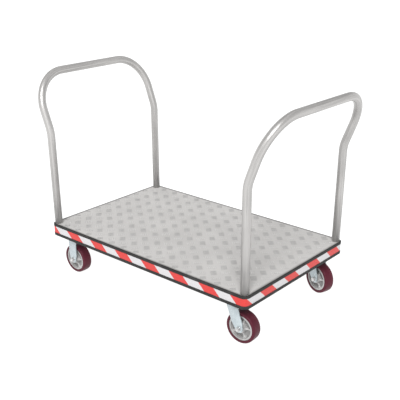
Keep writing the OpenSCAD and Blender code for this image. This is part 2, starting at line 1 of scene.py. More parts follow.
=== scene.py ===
# %% [markdown]
# # A flatbed platform truck
# A treadplate deck rides on four casters, two of which swivel. A bent tube handle stands at each
# end, and a rubber bumper with striped tape runs round the edge. The solid model is packed
# already, with every part in its place and every joint settled. This lesson dresses it: the solids
# that catch the eye are swapped for finer surfaces, and each finish is worked out from nodes.
#
# Each part's box can be read from its solid, and most pieces added here take their sizes from these boxes.
# Nothing that is added here may make the truck any bigger.

import json
import math

import bmesh
import bpy
import numpy as np
from mathutils import Matrix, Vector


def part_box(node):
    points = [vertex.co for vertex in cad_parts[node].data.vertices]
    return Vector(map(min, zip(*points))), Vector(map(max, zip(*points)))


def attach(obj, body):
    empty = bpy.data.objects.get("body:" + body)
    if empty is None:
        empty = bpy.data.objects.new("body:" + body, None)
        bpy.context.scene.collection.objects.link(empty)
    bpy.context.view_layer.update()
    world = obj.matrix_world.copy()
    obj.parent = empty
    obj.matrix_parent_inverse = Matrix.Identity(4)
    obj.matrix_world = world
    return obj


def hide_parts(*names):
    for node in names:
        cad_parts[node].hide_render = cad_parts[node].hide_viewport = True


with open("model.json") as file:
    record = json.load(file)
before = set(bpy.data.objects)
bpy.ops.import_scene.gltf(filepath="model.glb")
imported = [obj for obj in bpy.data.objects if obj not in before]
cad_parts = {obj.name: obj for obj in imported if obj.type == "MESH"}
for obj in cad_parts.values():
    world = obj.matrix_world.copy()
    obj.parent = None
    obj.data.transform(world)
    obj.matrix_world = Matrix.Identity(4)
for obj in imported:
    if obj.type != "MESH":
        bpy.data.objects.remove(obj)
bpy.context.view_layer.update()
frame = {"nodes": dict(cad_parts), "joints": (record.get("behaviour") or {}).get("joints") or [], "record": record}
joints = {joint["name"]: joint for joint in frame["joints"]}

# %% [markdown]
# ## One way to make every surface
# Each new piece is a grid of points that depends on two parameters, such as the way along a tube
# and the way round it. The grid could be made with Blender's own curves and a bevel, but worked
# out in numpy it gives exact sizes and a clean UV map in metres for the finishes to follow.
#
# A shell has to face outwards. Rather than thinking about the order of each grid, the signed
# volume is measured and the faces are turned over if it comes out negative.

# %% Grids of points and the mesh they make
def grid_faces(rows, columns, wrap_rows, wrap_columns):
    """Cell (i, j) joins points (i, j), (i, j+1), (i+1, j+1) and (i+1, j), and a wrapped direction
    joins its last line to its first. Returns the cells' corners as (row, column) pairs."""
    i, j = np.meshgrid(
        np.arange(rows if wrap_rows else rows - 1),
        np.arange(columns if wrap_columns else columns - 1),
        indexing="ij",
    )
    rows_of = np.stack([i, i, i + 1, i + 1], -1).reshape(-1, 4)
    columns_of = np.stack([j, j + 1, j + 1, j], -1).reshape(-1, 4)
    return rows_of, columns_of


def signed_volume(points, faces):
    """The sum over the quads of a . (b x c) / 6, for the two triangles of each quad."""
    a, b, c, d = (points[faces[:, k]] for k in range(4))
    return float((a * (np.cross(b, c) + np.cross(c, d))).sum() / 6)


SAME_POINT = 1e-6


def make_mesh(name, points, faces, uv):
    """A smooth mesh object at the origin from its points (n, 3), quads (m, 4) and the quads'
    UV corners (m, 4, 2)."""
    if signed_volume(points, faces) < 0:
        faces, uv = faces[:, ::-1], uv[:, ::-1]
    mesh = bpy.data.meshes.new(name)
    mesh.vertices.add(len(points))
    mesh.vertices.foreach_set("co", points.astype(np.float32).ravel())
    mesh.loops.add(faces.size)
    mesh.loops.foreach_set("vertex_index", faces.astype(np.int32).ravel())
    mesh.polygons.add(len(faces))
    mesh.polygons.foreach_set("loop_start", np.arange(0, faces.size, 4, dtype=np.int32))
    mesh.update(calc_edges=True)
    layer = mesh.uv_layers.new(name="UVMap")
    layer.data.foreach_set("uv", uv.astype(np.float32).ravel())
    shell = bmesh.new()
    shell.from_mesh(mesh)
    bmesh.ops.remove_doubles(shell, verts=shell.verts, dist=SAME_POINT)
    shell.to_mesh(mesh)
    shell.free()
    mesh.shade_smooth()
    piece = bpy.data.objects.new(name, mesh)
    bpy.context.scene.collection.objects.link(piece)
    return piece


def grid_piece(name, points, wrap=(True, True), u=None, v=None):
    """The piece whose points are points[i, j]. u and v hold the UV map's values along the rows and
    the columns, with one more value than there are lines where the grid wraps."""
    rows, columns = points.shape[:2]
    i, j = grid_faces(rows, columns, *wrap)
    uv = np.stack([u[i], v[j]], -1)
    faces = (i % rows) * columns + j % columns
    return make_mesh(name, points.reshape(-1, 3), faces, uv)


def lengths_along(points, wrap=False):
    """The distance walked along a line of points, back to the first one where it wraps."""
    line = np.concatenate([points, points[:1]]) if wrap else points
    steps = np.linalg.norm(np.diff(line, axis=0), axis=1)
    return np.concatenate([[0.0], np.cumsum(steps)])


def soft_corners(corners, cuts, steps=5):
    """A polygon with rounded corners. Each corner C is cut back by its own length along both of
    its edges, to A and B, and the curve (1-t)^2 A + 2t(1-t) C + t^2 B joins them."""
    corners, cuts = np.array(corners, float), np.array(cuts, float)[:, None]

    def towards(other):
        way = other - corners
        return corners + cuts * way / np.linalg.norm(way, axis=1, keepdims=True)

    start, end = towards(np.roll(corners, 1, 0)), towards(np.roll(corners, -1, 0))
    t = np.linspace(0, 1, steps + 1)[None, :, None]
    curve = (1 - t) ** 2 * start[:, None] + 2 * t * (1 - t) * corners[:, None] + t**2 * end[:, None]
    return curve.reshape(-1, 2)


square = soft_corners([(0, 0), (1, 0), (1, 1), (0, 1)], [0.2] * 4)
print("a square with soft corners has", len(square), "points")

# %% [markdown]
# ## The finishes
# A finish is a shader whose inputs vary over the surface: a little dirt, a little brushing, a
# worn edge. Node graphs are quick to draw and slow to read, so here they are written as sums.
# `Shade` wraps one output socket and overloads the operators, so that `0.3 + 0.1 * grain` adds
# two Math nodes. Every other node comes from its one `node` method.

# %% Shader sockets as numbers
class Shade:
    """One socket of a shader's node tree, which can be added to, multiplied and compared."""

    def __init__(self, tree, socket=None):
        self.tree = tree
        self.socket = socket

    def plug(self, socket, value):
        """Links a shade to an input socket, or sets the socket to a plain value."""
        if isinstance(value, Shade):
            self.tree.links.new(value.socket, socket)
        else:
            socket.default_value = value

    def node(self, kind, settings=None, sockets=None, out=0):
        """Adds a node: first its settings, then a value or a link for each of its sockets."""
        made = self.tree.nodes.new(kind)
        for name, value in (settings or {}).items():
            setattr(made, name, value)
        for key, value in (sockets or {}).items():
            self.plug(made.inputs[key], value)
        return Shade(self.tree, made.outputs[out])

    def maths(self, operation, *values):
        return self.node("ShaderNodeMath", {"operation": operation}, dict(enumerate(values)))

    def __add__(self, other):
        return self.maths("ADD", self, other)

    def __sub__(self, other):
        return self.maths("SUBTRACT", self, other)

    def __rsub__(self, other):
        return self.maths("SUBTRACT", other, self)

    def __mul__(self, other):
        return self.maths("MULTIPLY", self, other)

    def __truediv__(self, other):
        return self.maths("DIVIDE", self, other)

    def __rtruediv__(self, other):
        return self.maths("DIVIDE", other, self)

    def __lt__(self, other):
        return self.maths("LESS_THAN", self, other)

    def __gt__(self, other):
        return self.maths("GREATER_THAN", self, other)

    __radd__ = __add__
    __rmul__ = __mul__


def coordinates(start, which):
    return start.node("ShaderNodeTexCoord", out=which)


def stretched(spot, x, y, z):
    """The same coordinates, packed x, y and z times as tightly."""
    return spot.node("ShaderNodeVectorMath", {"operation": "MULTIPLY"}, {0: spot, 1: (x, y, z)})


def noise(spot, scale, detail=3.0, roughness=0.5):
    """Soft noise from 0 to 1, with this many blotches to the metre."""
    sockets = {"Vector": spot, "Scale": scale, "Detail": detail, "Roughness": roughness}
    return spot.node("ShaderNodeTexNoise", {}, sockets, "Fac")


def between(shade, low, high):
    """0 where the shade is below low, 1 where it is above high, and a smooth step between."""
    sockets = {"Value": shade, "From Min": low, "From Max": high}
    return shade.node("ShaderNodeMapRange", {"interpolation_type": "SMOOTHSTEP"}, sockets)


def blend(mask, colour, other):
    """One colour where the mask is 0 and the other where it is 1."""
    return mask.node("ShaderNodeMix", {"data_type": "RGBA"}, {0: mask, 6: colour, 7: other}, 2)


def relief(height, depth):
    """The normal of a surface that the height lifts by this depth, in metres."""
    return height.node("ShaderNodeBump", {}, {"Height": height, "Distance": depth}, "Normal")


def finish(name, recipe):
    """A material whose recipe says what each of its shader's inputs takes."""
    material = bpy.data.materials.new(name)
    material.use_nodes = True
    start = Shade(material.node_tree)
    shader = material.node_tree.nodes["Principled BSDF"]
    for socket, value in recipe(start).items():
        start.plug(shader.inputs[socket], value)
    print(name, "has", len(material.node_tree.nodes), "nodes")
    return material


def grey(level, warmth=0.0):
    """A grey colour, a touch warmer or cooler."""
    return (level * (1 + warmth), level, level * (1 - warmth), 1.0)


print("a slightly warm mid grey is", [round(channel, 3) for channel in grey(0.5, 0.02)])

# %% [markdown]
# ### Metals
# The deck is rolled aluminium plate. Rolling leaves faint streaks along the sheet, handling leaves
# duller blotches, and boxes dragged over it leave scuffs. In its last centimetre, against the
# bumper's lip, the plate is painted darker: painted shade in the corner, with some grime. The
# frame under it is the same metal, plainer. Each pattern reads Object coordinates, so it stays
# put on the piece.

# %% Aluminium
PLATE_HALF_X, PLATE_HALF_Y = tuple(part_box("deck_plate")[1])[:2]
GRIME_AND_SHADE_FROM, GRIME_AND_SHADE_FULL = 0.016, 0.002


def rolled_plate(start):
    spot = coordinates(start, "Object")
    streaks = noise(stretched(spot, 4, 160, 160), 1.0, 4.0)
    blotches = noise(spot, 5.0, 4.0)
    grain = noise(spot, 900.0, 2.0)
    scuffs = between(noise(stretched(spot, 30, 7, 30), 1.0, 6.0, 0.7), 0.62, 0.72)
    tone = 0.55 * blotches + 0.3 * streaks + 0.15 * grain
    colour = blend(between(tone, 0.3, 0.7), grey(0.53, 0.02), grey(0.61, 0.02))
    across = start.maths("ABSOLUTE", start.node("ShaderNodeSeparateXYZ", {}, {0: spot}, "Y"))
    ahead = start.maths("ABSOLUTE", start.node("ShaderNodeSeparateXYZ", {}, {0: spot}, "X"))
    to_rim = start.maths("MINIMUM", PLATE_HALF_X - ahead, PLATE_HALF_Y - across)
    # The plate darkens towards the bumper's lip: painted shade in the corner there, with some grime.
    lip_grime_and_shade = between(to_rim + 0.006 * blotches, GRIME_AND_SHADE_FROM, GRIME_AND_SHADE_FULL)
    colour = blend(0.75 * lip_grime_and_shade, colour, grey(0.20, 0.03))
    return {
        "Base Color": blend(0.25 * scuffs, colour, grey(0.72)),
        "Metallic": 0.12,
        "Specular IOR Level": 0.2,
        "Roughness": 0.56 + 0.2 * blotches - 0.12 * scuffs,
        "Normal": relief(0.6 * streaks + 0.4 * grain, 0.0002),
    }


def plain_plate(start):
    spot = coordinates(start, "Object")
    dirt = between(noise(spot, 14.0, 5.0), 0.35, 0.75)
    grain = noise(spot, 600.0, 2.0)
    return {
        "Base Color": blend(dirt, grey(0.42), grey(0.30, 0.02)),
        "Metallic": 0.4,
        "Roughness": 0.45 + 0.2 * dirt,
        "Normal": relief(grain, 0.0002),
    }


plate_metal = finish("rolled_plate", rolled_plate)
frame_metal = finish("frame_metal", plain_plate)

# %% [markdown]
# The handle tube is satin aluminium. It was drawn through a die, which leaves long faint lines
# along it. Its UV map holds metres along the tube and round it, so the lines follow the bends,
# which Object coordinates could not do. The way round is bent into a circle before the noise
# reads it, so the pattern closes without a seam.

# %% Drawn tube
TUBE_R = 0.01905


def drawn_tube(start):
    uv = coordinates(start, "UV")
    along = start.node("ShaderNodeSeparateXYZ", {}, {0: uv}, "X")
    angle = start.node("ShaderNodeSeparateXYZ", {}, {0: uv}, "Y") / TUBE_R
    circle = {"X": start.maths("COSINE", angle), "Y": start.maths("SINE", angle), "Z": along}
    spot = start.node("ShaderNodeCombineXYZ", {}, circle)
    lines = noise(stretched(spot, 2.2, 2.2, 2), 1.0, 3.0, 0.6)
    brushing = noise(stretched(spot, 16, 16, 9), 1.0, 4.0)
    handling = noise(stretched(spot, 0.6, 0.6, 9), 1.0, 4.0)
    tone = between(0.6 * lines + 0.25 * handling + 0.15 * brushing, 0.36, 0.64)
    return {
        "Base Color": blend(tone, grey(0.34, 0.02), grey(0.50, 0.02)),
        "Metallic": 0.45,
        "Roughness": 0.26 + 0.14 * handling + 0.06 * brushing,
        "Normal": relief(brushing, 0.00008),
    }


tube_metal = finish("drawn_tube", drawn_tube)

# %% [markdown]
# Caster forks are pressed from steel and zinc plated, which gives a pale blue-grey with a faint
# cloudy spangle. Bolts and nuts are plated too, brighter and smoother.

# %% Zinc plate and fasteners
def zinc_plate(start):
    spot = coordinates(start, "Object")
    clouds = noise(spot, 45.0, 5.0)
    cells = start.node("ShaderNodeTexVoronoi", {}, {"Vector": spot, "Scale": 260.0}, "Color")
    spangle = cells.node("ShaderNodeSeparateColor", {}, {"Color": cells})
    tone = between(0.7 * clouds + 0.3 * spangle, 0.3, 0.7)
    return {
        "Base Color": blend(tone, (0.41, 0.465, 0.49, 1), (0.50, 0.56, 0.585, 1)),
        "Metallic": 0.4,
        "Roughness": 0.30 + 0.14 * clouds + 0.05 * spangle,
        "Normal": relief(noise(spot, 500.0, 2.0), 0.0001),
    }


def fastener_metal(start):
    spot = coordinates(start, "Object")
    clouds = noise(spot, 90.0, 4.0)
    return {
        "Base Color": blend(clouds, grey(0.55), grey(0.72)),
        "Metallic": 0.9,
        "Roughness": 0.22 + 0.16 * clouds,
        "Normal": relief(noise(spot, 900.0, 2.0), 0.0001),
    }


zinc_metal = finish("zinc_plate", zinc_plate)
bolt_metal = finish("fastener_metal", fastener_metal)

# %% [markdown]
# A wheel's core is cast aluminium: grainy in its pockets, where the sand left its mark, and
# turned bright on its rim and hub. The piece's UV map holds a share of polish and painted
# highlight, 1 on the ribs and the step edges and 0 in the pockets, which are left darker as
# painted shade. It also holds the radius, so the turned bands and their fine lathe lines are
# picked out by radius alone.

# %% Cast wheel core
RIM_FACE_R = 0.0525
HUB_FACE_R = 0.0215
FACE_BLUR = 0.0005


def cast_core(start):
    spot = coordinates(start, "Object")
    wear_and_highlight = start.node("ShaderNodeSeparateXYZ", {}, {0: coordinates(start, "UV")}, "X")
    radius = start.node("ShaderNodeSeparateXYZ", {}, {0: coordinates(start, "UV")}, "Y")
    turned = between(radius, RIM_FACE_R - FACE_BLUR, RIM_FACE_R + FACE_BLUR)
    turned = turned + (radius < HUB_FACE_R)
    lathe = noise(stretched(coordinates(start, "UV"), 0.0, 5000, 1), 1.0, 2.0)
    sand = noise(spot, 700.0, 4.0)
    # Ribs and step edges lighter, pockets darker: polish, with a painted highlight on the raised parts and painted
    # shade in the pockets.
    cast = blend(0.6 * sand + 0.6 * wear_and_highlight, grey(0.19, 0.01), grey(0.50, 0.01))
    return {
        "Base Color": blend(turned, cast, grey(0.47, 0.01)),
        "Metallic": 0.35 + 0.35 * turned,
        "Roughness": 0.58 - 0.24 * turned + 0.1 * lathe,
        "Normal": relief(sand * (1 - turned) + 0.2 * lathe * turned, 0.0005),
    }


core_metal = finish("cast_core", cast_core)

# %% [markdown]
# ### Rubber, tread and tape
# The bumper is charcoal rubber with a dusty bloom. The tread is burgundy polyurethane, cast
# smooth, a little glossy, and dulled where it has rolled. The tape is retroreflective film with
# slanting red and white stripes over a quilt of tiny prisms.

# %% Rubber and tread
def bumper_rubber(start):
    spot = coordinates(start, "Object")
    bloom = between(noise(spot, 22.0, 6.0, 0.65), 0.42, 0.75)
    grain = noise(spot, 1200.0, 3.0)
    return {
        "Base Color": blend(bloom, grey(0.028), grey(0.050, 0.02)),
        "Roughness": 0.55 + 0.22 * bloom,
        "Specular IOR Level": 0.12,
        "Normal": relief(grain, 0.0003),
    }


def tread_rubber(start):
    spot = coordinates(start, "Object")
    way = start.node("ShaderNodeSeparateXYZ", {}, {0: coordinates(start, "UV")}, "Y")
    rolled = between(way, 0.35, 0.45) * between(way, 0.65, 0.55)
    scuffs = between(noise(spot, 60.0, 6.0, 0.65), 0.5, 0.7)
    colour = blend(scuffs * 0.5, (0.078, 0.013, 0.023, 1), (0.110, 0.030, 0.042, 1))
    return {
        "Base Color": blend(rolled * 0.35, colour, (0.130, 0.045, 0.060, 1)),
        "Roughness": 0.42 + 0.12 * scuffs + 0.12 * rolled,
        "Coat Weight": 0.05 - 0.04 * rolled,
        "Specular IOR Level": 0.12,
        "Normal": relief(noise(spot, 300.0, 3.0), 0.0002),
    }


bumper_finish = finish("bumper_rubber", bumper_rubber)
tread_finish = finish("tread_rubber", tread_rubber)

# %% [markdown]
# A stripe is a question of phase. With `along` and `height` in metres, lines of equal
# `along + lean * height` slant across the tape, and dividing by the period and keeping the
# fraction gives a saw-tooth that is red for nearly half of its length and white for the rest.

# %% Striped tape
STRIPE_PERIOD = 0.1755
STRIPE_START = 0.9145
STRIPE_MID_HEIGHT = 0.2345
STRIPE_LEAN = 1.03
RED_SHARE = 0.49
PHASE_AT_START = 0.25
PRISM_PITCH = 0.0045


def striped_tape(start):
    uv = coordinates(start, "UV")
    along = start.node("ShaderNodeSeparateXYZ", {}, {0: uv}, "X")
    height = start.node("ShaderNodeSeparateXYZ", {}, {0: uv}, "Y")
    slant = along - STRIPE_START + STRIPE_LEAN * (height - STRIPE_MID_HEIGHT)
    saw = start.maths("FRACT", slant / STRIPE_PERIOD + PHASE_AT_START)
    red = saw < RED_SHARE
    turn = math.pi / PRISM_PITCH
    quilt = start.maths("SINE", (along + height) * turn) * start.maths("SINE", (along - height) * turn)
    cells = between(start.maths("ABSOLUTE", quilt), 0.05, 0.35)
    wear = noise(stretched(uv, 12, 50, 1), 1.0, 5.0)
    white = blend(cells, grey(0.50), (0.60, 0.585, 0.605, 1))
    crimson = blend(cells, (0.50, 0.017, 0.013, 1), (0.63, 0.025, 0.020, 1))
    colour = blend(red, white, crimson)
    return {
        "Base Color": blend(0.12 * wear, colour, grey(0.35)),
        "Roughness": 0.30 + 0.2 * wear,
        "Coat Weight": 0.08,
        "Specular IOR Level": 0.3,
        "Normal": relief(cells, 0.00006),
    }


tape_finish = finish("striped_tape", striped_tape)

# %% [markdown]
# ## Dressing the solids that stay
# The rails, sockets and hardware have the right shape already, so they keep their solids and get
# a better finish. A real edge is never knife sharp, though, and the ones in plain view would give
# the model away. Those parts are copied, their loose triangles are welded and their flat faces
# joined, and a small Bevel rounds every sharp edge. The copy then stands for the solid.

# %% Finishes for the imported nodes
FINISH_OF_SLOT = {
    "deck_aluminium": plate_metal,
    "frame_aluminium": frame_metal,
    "bumper_rubber": bumper_finish,
    "reflective_tape": tape_finish,
    "handle_tube": tube_metal,
    "caster_zinc": zinc_metal,
    "fastener_steel": bolt_metal,
    "wheel_core": core_metal,
    "wheel_tread": tread_finish,
}
slot_of = {part["node"]: part["material_slot"] for part in frame["record"]["subparts"]}
body_of = {
    node: body for body, members in frame["record"]["behaviour"]["bodies"].items() for node in members
}


def dress(piece, slot):
    """Gives a piece the one finish of its slot."""
    piece.data.materials.clear()
    piece.data.materials.append(FINISH_OF_SLOT[slot])


for node, solid in frame["nodes"].items():
    dress(solid, slot_of[node])
print("dressed", len(slot_of), "nodes in", len(FINISH_OF_SLOT), "finishes")


def install(piece, nodes):
    """Puts a finished piece on the body of the nodes that it stands for, in their finish."""
    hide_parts(*nodes)
    dress(piece, slot_of[nodes[0]])
    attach(piece, body_of[nodes[0]])
    return piece


# %% Soft edges on a copy of a solid
WELD_DISTANCE = 2e-6
FLAT_ANGLE, SHARP_ANGLE = math.radians(0.5), math.radians(32)


def soften(node, width):
    """Stands a copy of a node in for it, with its sharp edges rounded to this width."""
    mesh = frame["nodes"][node].data.copy()
    mesh.name = node + "_soft"
    shell = bmesh.new()
    shell.from_mesh(mesh)
    bmesh.ops.remove_doubles(shell, verts=shell.verts, dist=WELD_DISTANCE)
    bmesh.ops.dissolve_limit(shell, angle_limit=FLAT_ANGLE, verts=shell.verts, edges=shell.edges)
    shell.to_mesh(mesh)
    shell.free()
    mesh.shade_smooth()
    piece = bpy.data.objects.new(node + "_soft", mesh)
    bpy.context.scene.collection.objects.link(piece)
    edge = piece.modifiers.new("soft_edges", "BEVEL")
    edge.width, edge.segments = width, 2
    edge.limit_method, edge.angle_limit = "ANGLE", SHARP_ANGLE
    edge.harden_normals = True
    return install(piece, [node])


SOFT_WIDTHS = {"fork": 0.0011, "axle_bolt": 0.0006, "axle_nut": 0.0006, "plate": 0.0008}
softened = [
    soften(node, width)
    for node in slot_of
    for ending, width in SOFT_WIDTHS.items()
    if node.endswith("_" + ending) and node != "deck_plate"
]
print("softened", len(softened), "parts")

# %% [markdown]
# ## The tread pattern of the deck
# Treadplate is rolled with groups of five short bars. Neighbouring groups are turned a quarter
# turn, so that a wheel or a shoe always meets some of them side on. Modelling the pattern in the
# plate itself would need millions of faces. Each bar is instead a shallow closed oval that
# sinks a little into the plate, and all of them are one mesh: one bar's points, turned and moved
# by arrays.

# %% A finish for the bars
def raised_bars(start):
    uv = coordinates(start, "UV")
    kind = start.node("ShaderNodeSeparateXYZ", {}, {0: uv}, "X")
    height = start.node("ShaderNodeSeparateXYZ", {}, {0: uv}, "Y")
    spot = coordinates(start, "Object")
    grain = noise(spot, 900.0, 2.0)
    # Bar tops are lighter and their lower sides darker: wear on the tops with a painted highlight, and painted
    # shade on the sides.
    wear_and_highlight = between(height + 0.3 * noise(spot, 30.0, 4.0), 0.75, 1.15)
    # One lattice is painted darker and the other lighter: painted shade and painted light for bars that lie two
    # ways to the light.
    shaded_sides = blend(kind, grey(0.30, 0.01), grey(0.46, 0.02))
    worn_and_lit_tops = blend(kind, grey(0.42, 0.01), grey(0.70, 0.01))
    return {
        "Base Color": blend(wear_and_highlight, shaded_sides, worn_and_lit_tops),
        "Metallic": 0.12,
        "Specular IOR Level": 0.2,
        "Roughness": 0.56 - 0.12 * wear_and_highlight,
        "Normal": relief(grain, 0.0002),
    }


bar_metal = finish("raised_bars", raised_bars)

# %% Bars of the treadplate
PITCH_X, PITCH_Y = 0.0826, 0.0715
FIRST_X, FIRST_Y = 0.0494, -0.0100
BAR_LENGTH, BAR_WIDTH, BAR_HEIGHT = 0.030, 0.0046, 0.0013
BAR_SPACING = 0.0088
SUNK = 0.0003
RING = 12
BARS_IN_GROUP = 5
LATTICE_REACH_X, LATTICE_REACH_Y = 12, 10
TIP_CLEAR = 0.7


def one_bar():
    """Rings of an ellipse at falling widths and rising heights: with t round the ring and s the
    ring's share of the full size, the point is (s cos t L/2, s sin t W/2, h)."""
    t = np.arange(RING) * 2 * math.pi / RING
    sizes = np.array([0.02, 1.0, 0.93, 0.55, 0.02])
    heights = np.array([-SUNK, -SUNK, 0.45 * BAR_HEIGHT, 0.95 * BAR_HEIGHT, BAR_HEIGHT])
    x = sizes[:, None] * np.cos(t) * BAR_LENGTH / 2
    y = sizes[:, None] * np.sin(t) * BAR_WIDTH / 2
    return np.stack([x, y, np.broadcast_to(heights[:, None], x.shape)], -1)


def group_places(offset_x, offset_y, turn, half_x, half_y):
    """Middles of all the bars of the groups on one lattice, then their turn, and 0 or 1 for
    which of the two lattices it is, which the finish uses to paint one lattice lit and the other shaded."""
    i, j = np.meshgrid(
        np.arange(-LATTICE_REACH_X, LATTICE_REACH_X + 1),
        np.arange(-LATTICE_REACH_Y, LATTICE_REACH_Y + 1),
        indexing="ij",
    )
    x = FIRST_X + (i + offset_x) * PITCH_X
    y = FIRST_Y + (j + offset_y) * PITCH_Y
    across = (np.arange(BARS_IN_GROUP) - BARS_IN_GROUP // 2) * BAR_SPACING
    x = x[..., None] - math.sin(turn) * across
    y = y[..., None] + math.cos(turn) * across
    keep = (abs(x) < half_x) & (abs(y) < half_y)
    return x[keep], y[keep], np.full(keep.sum(), turn), np.full(keep.sum(), 2 * offset_x)


plate_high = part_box("deck_plate")[1]
handle_low, handle_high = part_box("handle_swivel_end")
post_x, post_y = handle_low.x + TUBE_R, handle_high.y - TUBE_R
PLAIN_RIM, PLAIN_ROUND_POST = 0.003, 0.017
reach = TIP_CLEAR * BAR_LENGTH / 2 + PLAIN_RIM
half_x, half_y = plate_high.x - reach, plate_high.y - reach
groups = [
    group_places(0.0, 0.0, math.radians(45), half_x, half_y),
    group_places(0.5, 0.5, math.radians(-45), half_x, half_y),
]
bars = np.stack([np.concatenate(column) for column in zip(*groups)])
from_post = np.hypot(abs(bars[0]) - post_x, abs(bars[1]) - post_y)
bars = bars[:, from_post > TUBE_R + PLAIN_ROUND_POST]
bar_x, bar_y, bar_turn, bar_lit_lattice = bars

bar = one_bar()
cos, sin = np.cos(bar_turn)[:, None, None], np.sin(bar_turn)[:, None, None]
marks = np.stack(
    [
        bar_x[:, None, None] + cos * bar[..., 0] - sin * bar[..., 1],
        bar_y[:, None, None] + sin * bar[..., 0] + cos * bar[..., 1],
        np.broadcast_to(plate_high.z + bar[..., 2], (len(bar_x),) + bar.shape[:2]),
    ],
    -1,
)
i, j = grid_faces(bar.shape[0], RING, False, True)
bar_faces = i * RING + j % RING
all_faces = (np.arange(len(bar_x))[:, None, None] * bar.shape[0] * RING + bar_faces).reshape(-1, 4)
height_share = np.clip(marks[..., 2].reshape(-1) - plate_high.z, 0, BAR_HEIGHT) / BAR_HEIGHT
# Per point, 1 on the lattice that is painted lit and 0 on the one that is painted shaded.
lit_lattice_of_point = np.repeat(bar_lit_lattice, bar.shape[0] * RING)
bar_uv = np.stack([lit_lattice_of_point, height_share], -1)[all_faces]
tread_marks = make_mesh("deck_tread_marks", marks.reshape(-1, 3), all_faces, bar_uv)
tread_marks.data.materials.append(bar_metal)
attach(tread_marks, "truck")
print(len(bar_x), "bars,", len(tread_marks.data.polygons), "faces")

# %% [markdown]
# ## The bumper and its tape
# The bumper is an extruded strip: one cross-section carried round the deck. A profile and a path
# describe it fully, so its surface is `path + inwards * depth + up * height`. The path is a
# rectangle with round corners. The tape is a second, thinner profile on the same path, and its
# UV map counts metres along the path, which is what keeps the stripes even round the corners.

# %% The path round the deck
bumper_low, bumper_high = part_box("edge_bumper")
CORNER_R = 0.028
ARC_STEPS = 14


def round_the_deck():
    """Four quarter circles whose ends are joined by straight runs. Corner k has its middle at
    (+-(length/2 - r), +-(width/2 - r)), and its points are the middle plus r (cos a, sin a)."""
    quarter = np.linspace(0, math.pi / 2, ARC_STEPS + 1)
    angles = np.stack([quarter + math.pi * k / 2 for k in (2, 3, 0, 1)])
    sides = np.array([(-1, -1), (1, -1), (1, 1), (-1, 1)])
    middles = sides * (np.array([bumper_high.x, bumper_high.y]) - CORNER_R)
    outwards = np.stack([np.cos(angles), np.sin(angles)], -1)
    path = middles[:, None] + CORNER_R * outwards
    path, outwards = path.reshape(-1, 2), outwards.reshape(-1, 2)
    # The last point comes first, so that the seam hides at the far corner of the truck.
    return np.roll(path, 1, 0), np.roll(outwards, 1, 0)


deck_path, deck_outwards = round_the_deck()
path_metres = lengths_along(deck_path, wrap=True)
print("round the deck is", round(float(path_metres[-1]), 4), "m")


def strip_round_deck(name, profile):
    """The strip whose profile (depth, height) is carried round the deck: path - outwards * depth,
    at the given height."""
    flat = deck_path[:, None] - deck_outwards[:, None] * profile[None, :, :1]
    height = np.broadcast_to(profile[None, :, 1:], flat.shape[:2] + (1,))
    heights = np.concatenate([profile[:, 1], profile[:1, 1]])
    return grid_piece(name, np.concatenate([flat, height], -1), u=path_metres, v=heights)


# %% The rubber strip
LIP, TOP_LIP, BOTTOM_LIP, CHANNEL = 0.0065, 0.0130, 0.0155, 0.0015
CHANNEL_SLOPE = 0.0002
low, high = bumper_low.z, bumper_high.z
bumper_corners = [
    (0, low),
    (0, low + BOTTOM_LIP),
    (CHANNEL, low + BOTTOM_LIP + CHANNEL_SLOPE),
    (CHANNEL, high - TOP_LIP - CHANNEL_SLOPE),
    (0, high - TOP_LIP),
    (0, high),
    (LIP, high),
    (LIP, low),
]
bumper_cuts = [0.0018, 0.0008, 0.0001, 0.0001, 0.0008, 0.0022, 0.0008, 0.0008]
bumper = strip_round_deck("edge_bumper_strip", soft_corners(bumper_corners, bumper_cuts))
install(bumper, ["edge_bumper"])
print("bumper", len(bumper.data.polygons), "faces")

# %% The striped tape
tape_low, tape_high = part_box("reflective_tape")
TAPE_T, TAPE_EDGE_CUT = 0.0004, 0.00015
tape_corners = [
    (CHANNEL - TAPE_T, tape_low.z),
    (CHANNEL - TAPE_T, tape_high.z),
    (CHANNEL, tape_high.z),
    (CHANNEL, tape_low.z),
]
tape = strip_round_deck("reflective_tape_strip", soft_corners(tape_corners, [TAPE_EDGE_CUT] * 4, 3))
install(tape, ["reflective_tape"])
print("tape", len(tape.data.polygons), "faces")

# %% [markdown]
# ## The push handles
# Each handle is one tube, bent four times. It could be a Bezier curve with a round bevel, but a
# Bezier only comes near to a circular bend. Here a small cart drives along the tube, carrying
# three axes with it. A run moves the cart ahead. A bend turns the cart about a point beside it,
# and every place and axis on the way is one rotation formula over an array of angles.

# %% A tube driven by runs and bends
DEGREES_A_STEP, FEWEST_STEPS = 2.5, 6
CLOSED_END_R = 1e-7
SIDE, ACROSS = 0, 1


def turned(vectors, axis, angles):
    """Each vector turned about a unit axis k by each angle a: v cos a + (k x v) sin a +
    k (k . v)(1 - cos a)."""
    a = angles[:, None, None]
    along = (vectors @ axis)[None, :, None] * axis
    return vectors * np.cos(a) + np.cross(axis, vectors) * np.sin(a) + along * (1 - np.cos(a))


def drive(start, moves):
    """Places and axes (side, across, ahead) along a tube's middle line. A move is a length, or a
    radius, an angle in degrees and which axis the bend turns about."""
    places, axes = [np.array([start], float)], [np.eye(3)[None]]
    for move in moves:
        here, frame_here = places[-1][-1], axes[-1][-1]
        if isinstance(move, float):
            places.append(here[None] + frame_here[2] * move)
            axes.append(frame_here[None])
            continue
        radius, degrees, about = move
        steps = max(FEWEST_STEPS, int(abs(degrees) / DEGREES_A_STEP))
        angles = np.linspace(0, math.radians(abs(degrees)), steps + 1)[1:]
        axis = frame_here[about] * math.copysign(1, degrees)
        arm = radius * np.cross(frame_here[2], axis)
        places.append(here - arm + turned(arm[None], axis, angles)[:, 0])
        axes.append(turned(frame_here, axis, angles))
    return np.concatenate(places), np.concatenate(axes)


